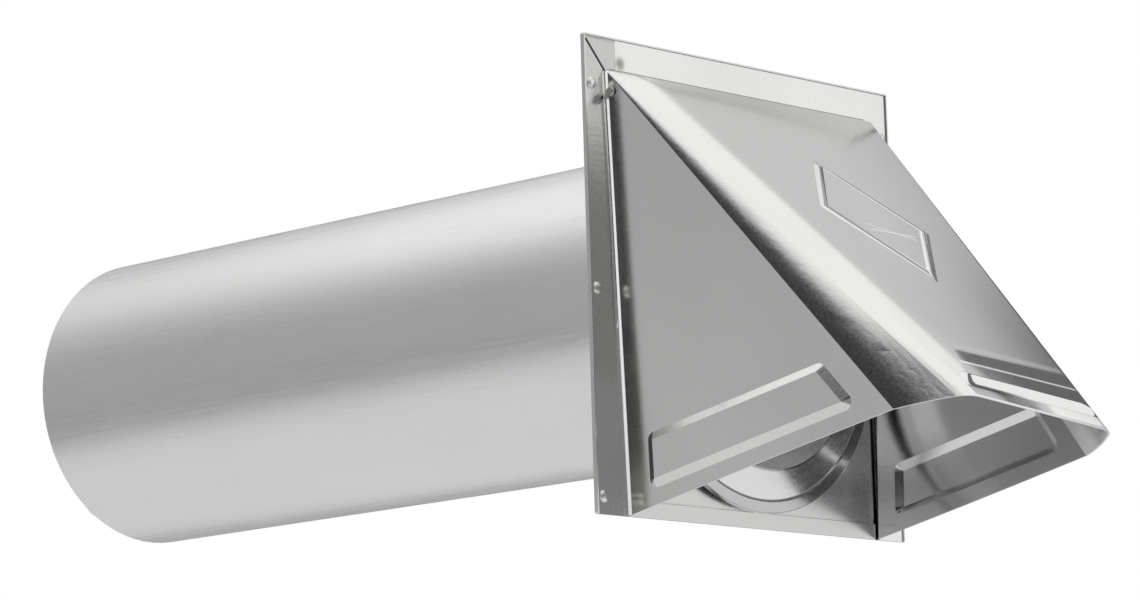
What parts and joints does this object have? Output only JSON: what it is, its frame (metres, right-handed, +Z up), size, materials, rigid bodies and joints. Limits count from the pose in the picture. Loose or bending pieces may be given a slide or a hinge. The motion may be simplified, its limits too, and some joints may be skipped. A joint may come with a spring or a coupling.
{
  "type": "dryer vent cap",
  "caption": "Wall-mounted exhaust vent cap: a folded sheet-metal hood over a hinged damper flap, with a long round tail pipe through the wall.",
  "frame": {"origin": "on the axis of the tail pipe, in the plane of the wall that the plate lies against", "axes": "+Y along the tail pipe, through the wall and away from the hood; +Z up; the hood stands out towards -Y"},
  "size_m": [0.146, 0.4056, 0.15],
  "materials": {
    "hood_sheet": "bright mill-finish sheet with fine rolling grain",
    "plate_sheet": "bright mill-finish sheet",
    "pipe_sheet": "smooth rolled sheet, satin",
    "flap_sheet": "spun, bright",
    "rod_wire": "drawn wire",
    "rivet_metal": "satin"
  },
  "bodies": {
    "cap": {"hood": "hood_sheet", "wall_plate": "plate_sheet", "tail_pipe": "pipe_sheet", "damper_rod": "rod_wire", "edge_rivets": "rivet_metal"},
    "flap": {"damper_flap": "flap_sheet"}
  },
  "joints": [
    {"name": "damper_hinge", "type": "hinge", "parent": "cap", "child": "flap", "pos_m": [0, -0.0035, 0.057], "axis": [-1, 0, 0], "range_deg": [0, 26]}
  ]
}
